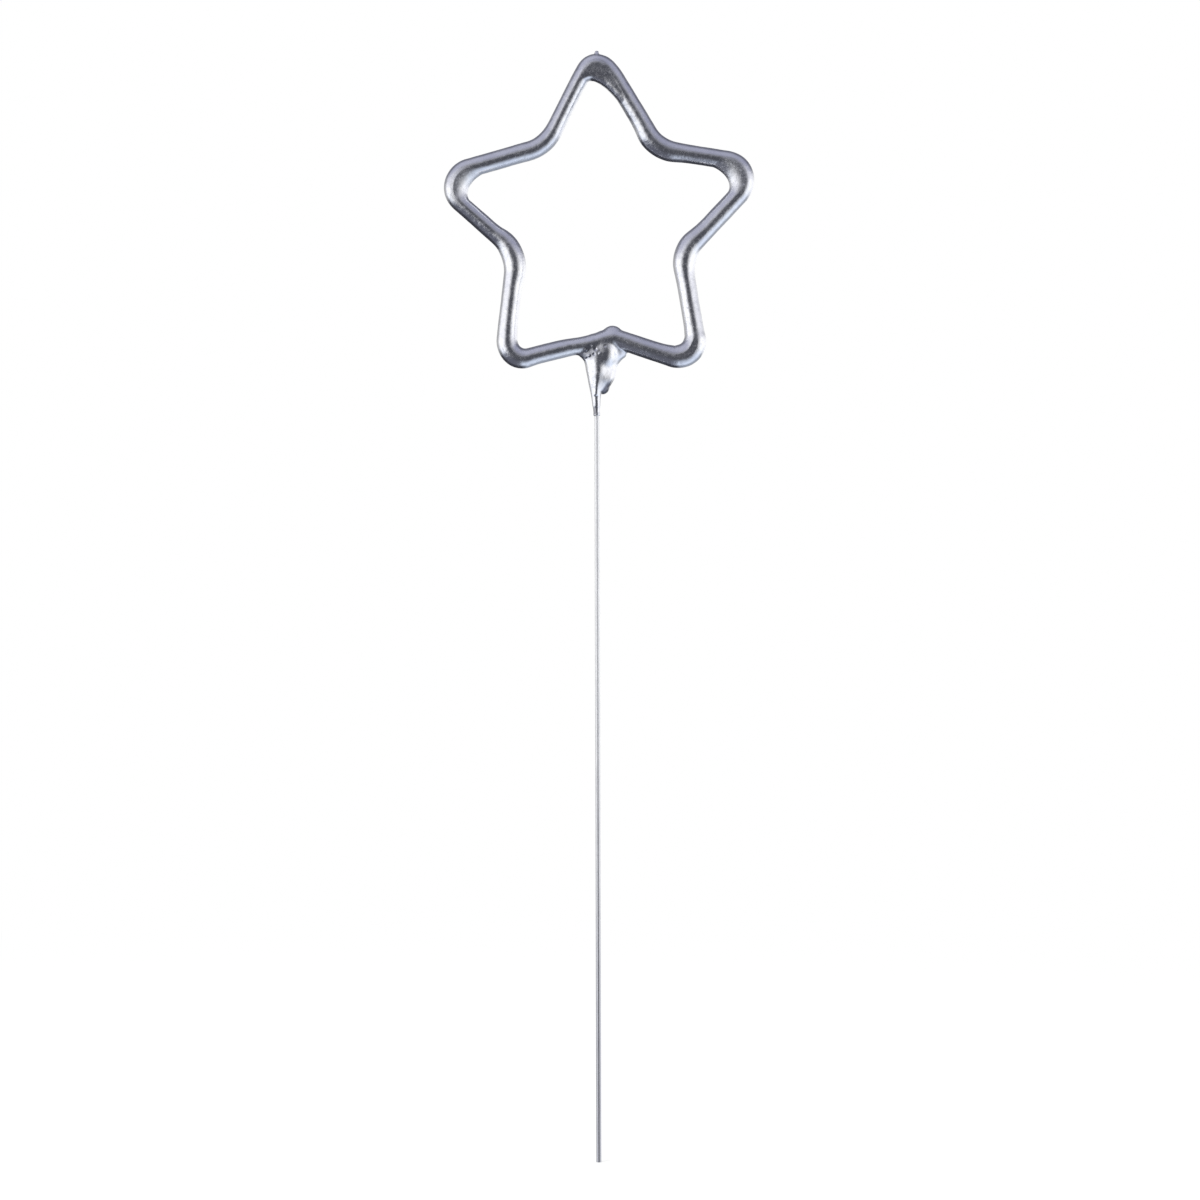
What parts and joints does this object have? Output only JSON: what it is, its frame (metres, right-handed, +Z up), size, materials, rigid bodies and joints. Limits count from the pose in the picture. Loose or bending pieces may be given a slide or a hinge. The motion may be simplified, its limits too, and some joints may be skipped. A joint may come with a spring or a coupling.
{
  "type": "sparkler",
  "caption": "Hand-held sparkler with a star-shaped head: a bent steel wire, a dried spark mix round the star and a glossy silver lacquer over it, above a bare wire stem.",
  "frame": {"origin": "middle of the stem's cut foot, the lower end of the bare wire", "axes": "+Z up along the stem to the star's top tip, +X to the star's right as seen from the front, +Y to the back, so the star lies in the XZ plane"},
  "size_m": [0.0503, 0.0038, 0.1802],
  "materials": {
    "drawn_steel": "satin",
    "spark_mix": "matte",
    "silver_lacquer": "gloss"
  },
  "bodies": {
    "root": {"core_wire": "drawn_steel", "spark_composition": "spark_mix", "silver_lacquer": "silver_lacquer"}
  },
  "joints": []
}
